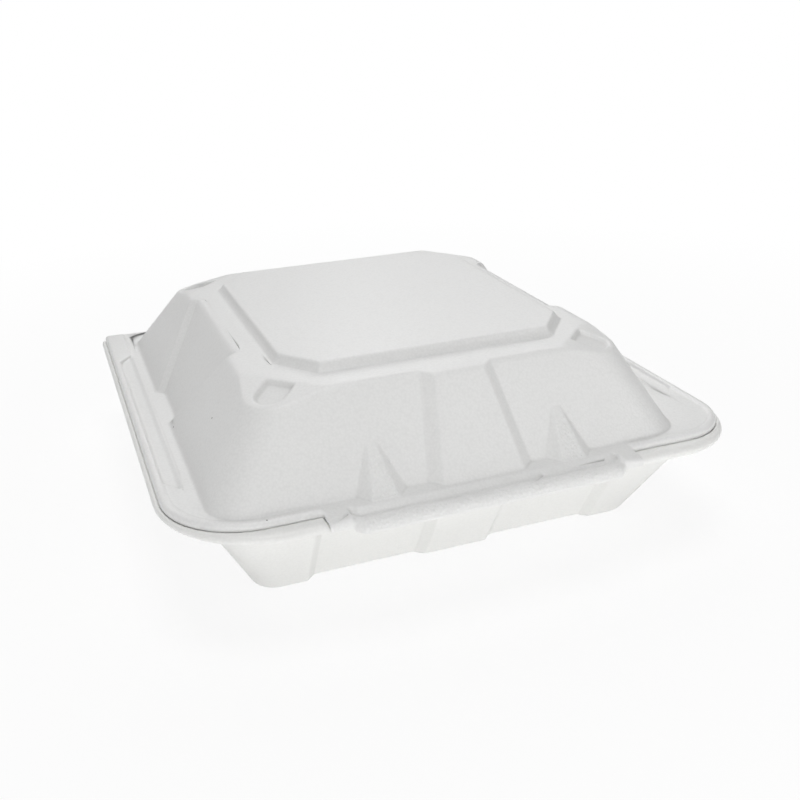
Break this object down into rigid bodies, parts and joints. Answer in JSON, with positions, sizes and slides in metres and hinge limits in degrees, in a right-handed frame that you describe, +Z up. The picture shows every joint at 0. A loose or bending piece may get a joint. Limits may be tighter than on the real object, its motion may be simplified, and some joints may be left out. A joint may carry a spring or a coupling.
{
  "type": "hinged foam food container",
  "caption": "Square hinged takeaway box of formed foam, closed, with a domed lid, stepped plateau, lock wedges and a grip bar along the front.",
  "frame": {"origin": "middle of the footprint, on the surface that the box stands on", "axes": "+X along the front to the right as seen by the user, +Y from the grip bar to the hinge, +Z up"},
  "size_m": [0.2286, 0.2318, 0.0825],
  "materials": {
    "foam_tray": "expanded polystyrene foam sheet, matt with a soft skin",
    "foam_lid": "expanded polystyrene foam sheet, matt with a soft skin"
  },
  "bodies": {
    "tray": {"tray": "foam_tray"},
    "lid": {"lid": "foam_lid"}
  },
  "joints": [
    {"name": "lid_hinge", "type": "hinge", "parent": "tray", "child": "lid", "pos_m": [0, 0.1159, 0.04295], "axis": [-1, 0, 0], "range_deg": [0, 180]}
  ]
}
